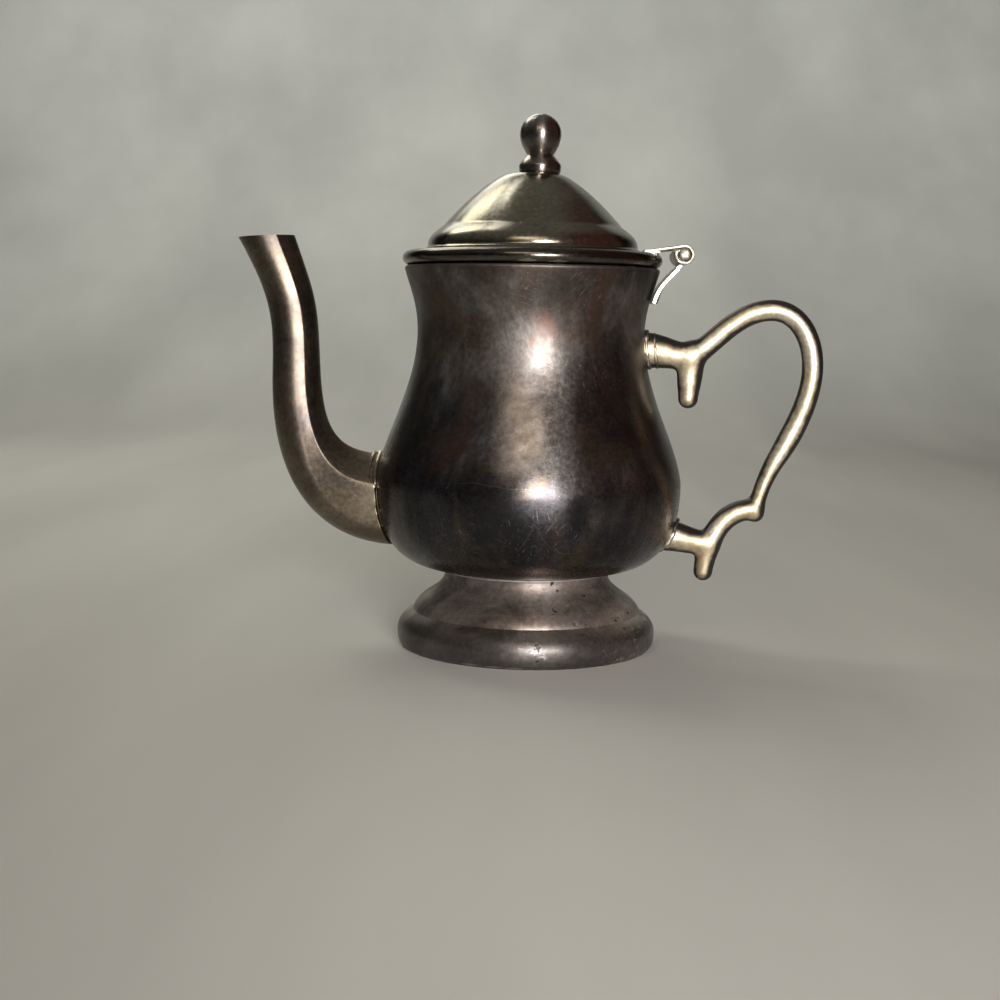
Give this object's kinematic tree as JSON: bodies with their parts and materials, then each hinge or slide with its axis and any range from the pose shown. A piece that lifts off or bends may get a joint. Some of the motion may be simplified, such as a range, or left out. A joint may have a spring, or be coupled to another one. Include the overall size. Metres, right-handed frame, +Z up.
{
  "type": "miniature teapot",
  "caption": "Miniature silver-plated teapot: waisted hollow body on a pedestal foot, swan-neck spout, cast scroll handle and a hinged domed lid with an acorn finial.",
  "frame": {"origin": "centre of the foot's base, on the pot's axis, in the plane that it stands on", "axes": "+Z up along the pot's axis, +X towards the handle, -X towards the spout, +Y across"},
  "size_m": [0.1193, 0.0628, 0.1081],
  "materials": {
    "dull_plate": "dull pitted silver plate",
    "dark_plate": "heavily tarnished silver plate",
    "spout_plate": "tarnished silver plate",
    "bright_plate": "rubbed warm silver plate",
    "hinge_plate": "rubbed silver plate",
    "warm_plate": "warm tarnished silver plate",
    "finial_plate": "polished dark silver plate",
    "inner_metal": "dull brass"
  },
  "bodies": {
    "pot": {"foot_pedestal": "dull_plate", "body_shell": "dark_plate", "spout": "spout_plate", "handle": "bright_plate", "body_hinge_bracket": "hinge_plate"},
    "lid": {"lid_dome": "warm_plate", "lid_bezel": "warm_plate", "lid_hinge_leaf": "hinge_plate", "hinge_pin": "hinge_plate", "finial": "finial_plate", "finial_washer": "inner_metal", "finial_nut": "inner_metal"}
  },
  "joints": [
    {"name": "lid_hinge", "type": "hinge", "parent": "pot", "child": "lid", "pos_m": [0.0302, 0, 0.0803], "axis": [0, 1, 0], "range_deg": [0, 110]}
  ]
}
